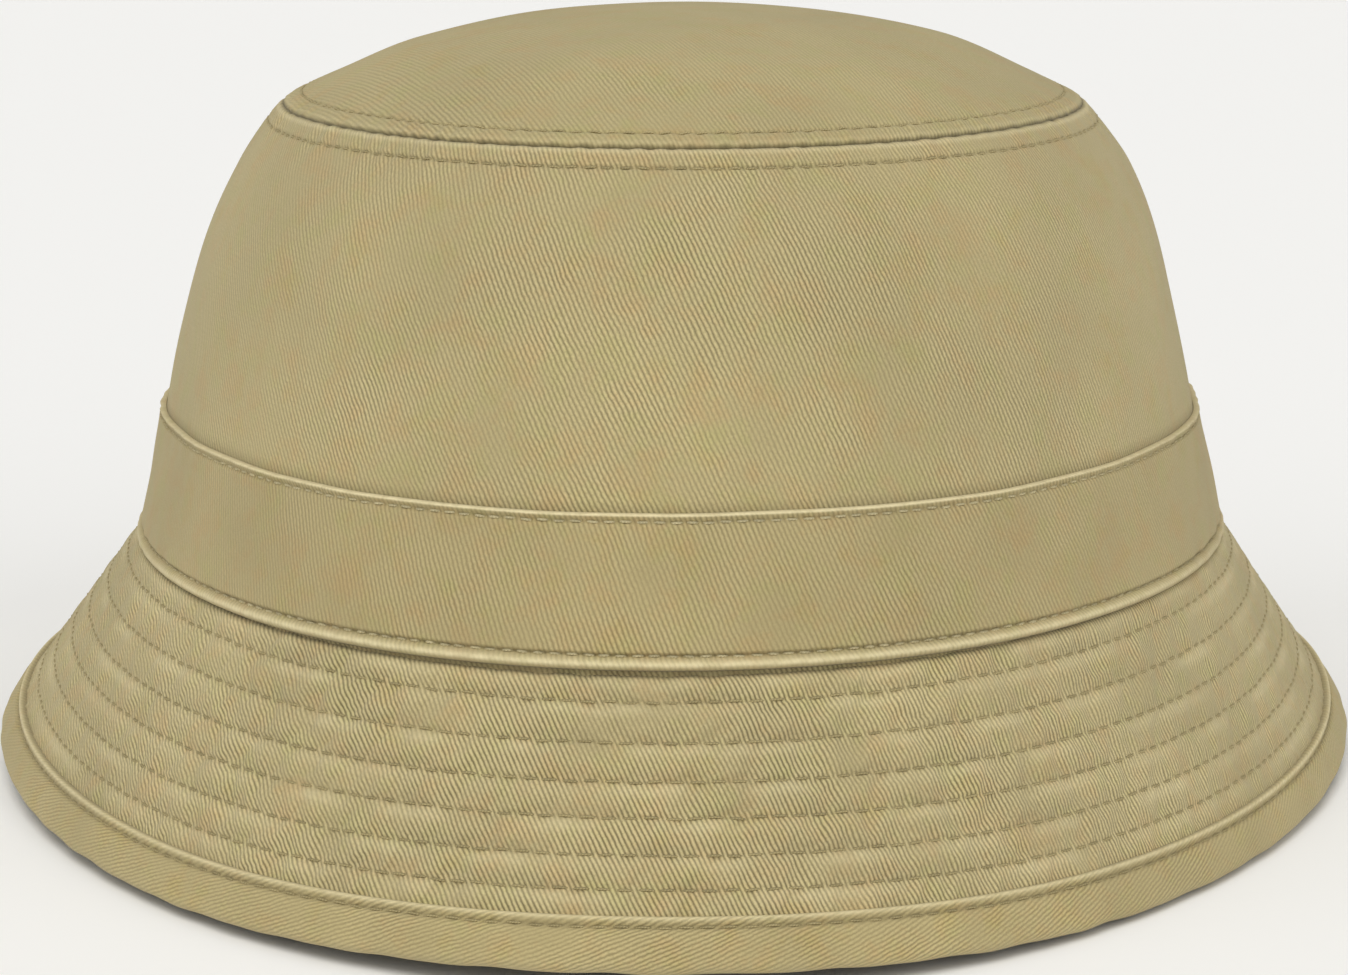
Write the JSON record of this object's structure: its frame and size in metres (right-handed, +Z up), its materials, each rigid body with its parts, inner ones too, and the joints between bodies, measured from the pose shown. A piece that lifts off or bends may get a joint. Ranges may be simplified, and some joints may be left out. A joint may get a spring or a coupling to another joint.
{
  "type": "bucket hat",
  "caption": "Cotton twill bucket hat: domed crown, hat band, quilted sloping brim with bound edge, inside sweatband.",
  "frame": {"origin": "centre of the plane on which the brim's bound edge rests", "axes": "+Z up through the crown, -Y towards the front of the hat, +X to the right seen from the front"},
  "size_m": [0.226, 0.249, 0.1254],
  "materials": {
    "shell_twill": "washed cotton twill, matt, fine diagonal weave",
    "brim_under_twill": "washed cotton twill, matt",
    "binding_twill": "bias-cut cotton twill tape, matt",
    "interlining": "non-woven interlining, matt",
    "sweatband_cotton": "plain-weave cotton, matt",
    "seam_tape": "bias-cut cotton tape, matt",
    "label_satin": "woven satin tape, soft sheen, blank",
    "thread": "spun sewing thread, soft sheen"
  },
  "bodies": {
    "hat": {"side_crown_front": "shell_twill", "side_crown_back": "shell_twill", "hat_band": "shell_twill", "brim_upper": "shell_twill", "brim_interlining": "interlining", "brim_lower": "brim_under_twill", "brim_binding": "binding_twill", "sweatband": "sweatband_cotton", "side_seam_tape_left": "seam_tape", "side_seam_tape_right": "seam_tape", "tip_topstitch_lower": "thread", "side_seam_thread_left": "thread", "side_seam_thread_right": "thread", "band_topstitch_upper": "thread", "band_topstitch_lower": "thread", "brim_seam_thread": "thread", "brim_stitch_row_1": "thread", "brim_stitch_row_2": "thread", "brim_stitch_row_3": "thread", "brim_stitch_row_4": "thread", "brim_stitch_row_5": "thread", "brim_stitch_row_6": "thread", "binding_stitch": "thread", "sweatband_stitch": "thread", "label_stitch": "thread"},
    "crown_top": {"crown_tip": "shell_twill", "tip_seam_tape": "seam_tape", "tip_seam_thread": "thread", "tip_topstitch_upper": "thread"},
    "label": {"care_label": "label_satin"}
  },
  "joints": [
    {"name": "crown_push_in", "type": "slide", "parent": "hat", "child": "crown_top", "axis": [0, 0, -1], "range_m": [0, 0.05], "stiffness_N_per_m": 40, "springref_m": -0.012},
    {"name": "care_label_hinge", "type": "hinge", "parent": "hat", "child": "label", "pos_m": [0, 0.09339, 0.06], "axis": [-1, 0, 0], "range_deg": [0, 120]}
  ]
}
